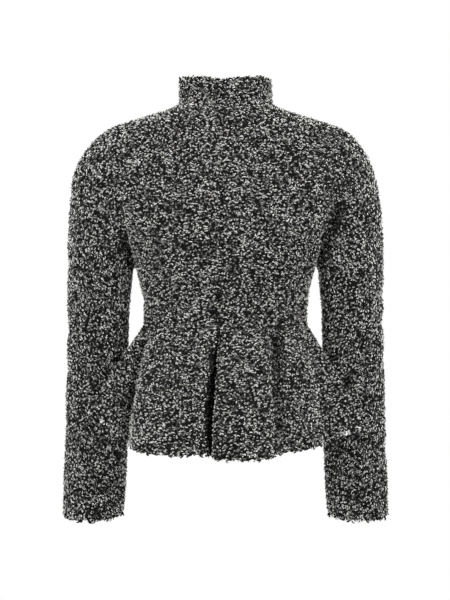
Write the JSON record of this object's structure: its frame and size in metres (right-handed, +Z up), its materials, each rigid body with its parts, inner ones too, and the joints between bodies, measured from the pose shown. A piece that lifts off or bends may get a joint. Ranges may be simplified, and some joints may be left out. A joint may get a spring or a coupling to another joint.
{
  "type": "boucle jacket",
  "caption": "Fitted jacket in mottled black and ivory boucle with a funnel collar, long sleeves, a lapped front and a fluted peplum with frayed edges.",
  "frame": {"origin": "middle of the neck at the height where the shoulders begin, where the wearer's shoulders carry the jacket", "axes": "+Z up, front of the jacket towards -Y, wearer's left side towards +X"},
  "size_m": [0.5292, 0.3381, 0.7269],
  "materials": {
    "boucle": "matte looped wool, mottled black and ivory",
    "frayed_yarn": "matte loose yarn ends, black and ivory"
  },
  "bodies": {
    "root": {"bodice_front_left": "boucle", "bodice_front_right": "boucle", "bodice_back": "boucle", "collar": "boucle", "sleeve_left": "boucle", "sleeve_right": "boucle", "peplum_front_left": "boucle", "peplum_front_right": "boucle", "peplum_back": "boucle", "hem_fray_front_left": "frayed_yarn", "hem_fray_front_right": "frayed_yarn", "hem_fray_back": "frayed_yarn", "cuff_fray_left": "frayed_yarn", "cuff_fray_right": "frayed_yarn", "collar_fray": "frayed_yarn"}
  },
  "joints": []
}
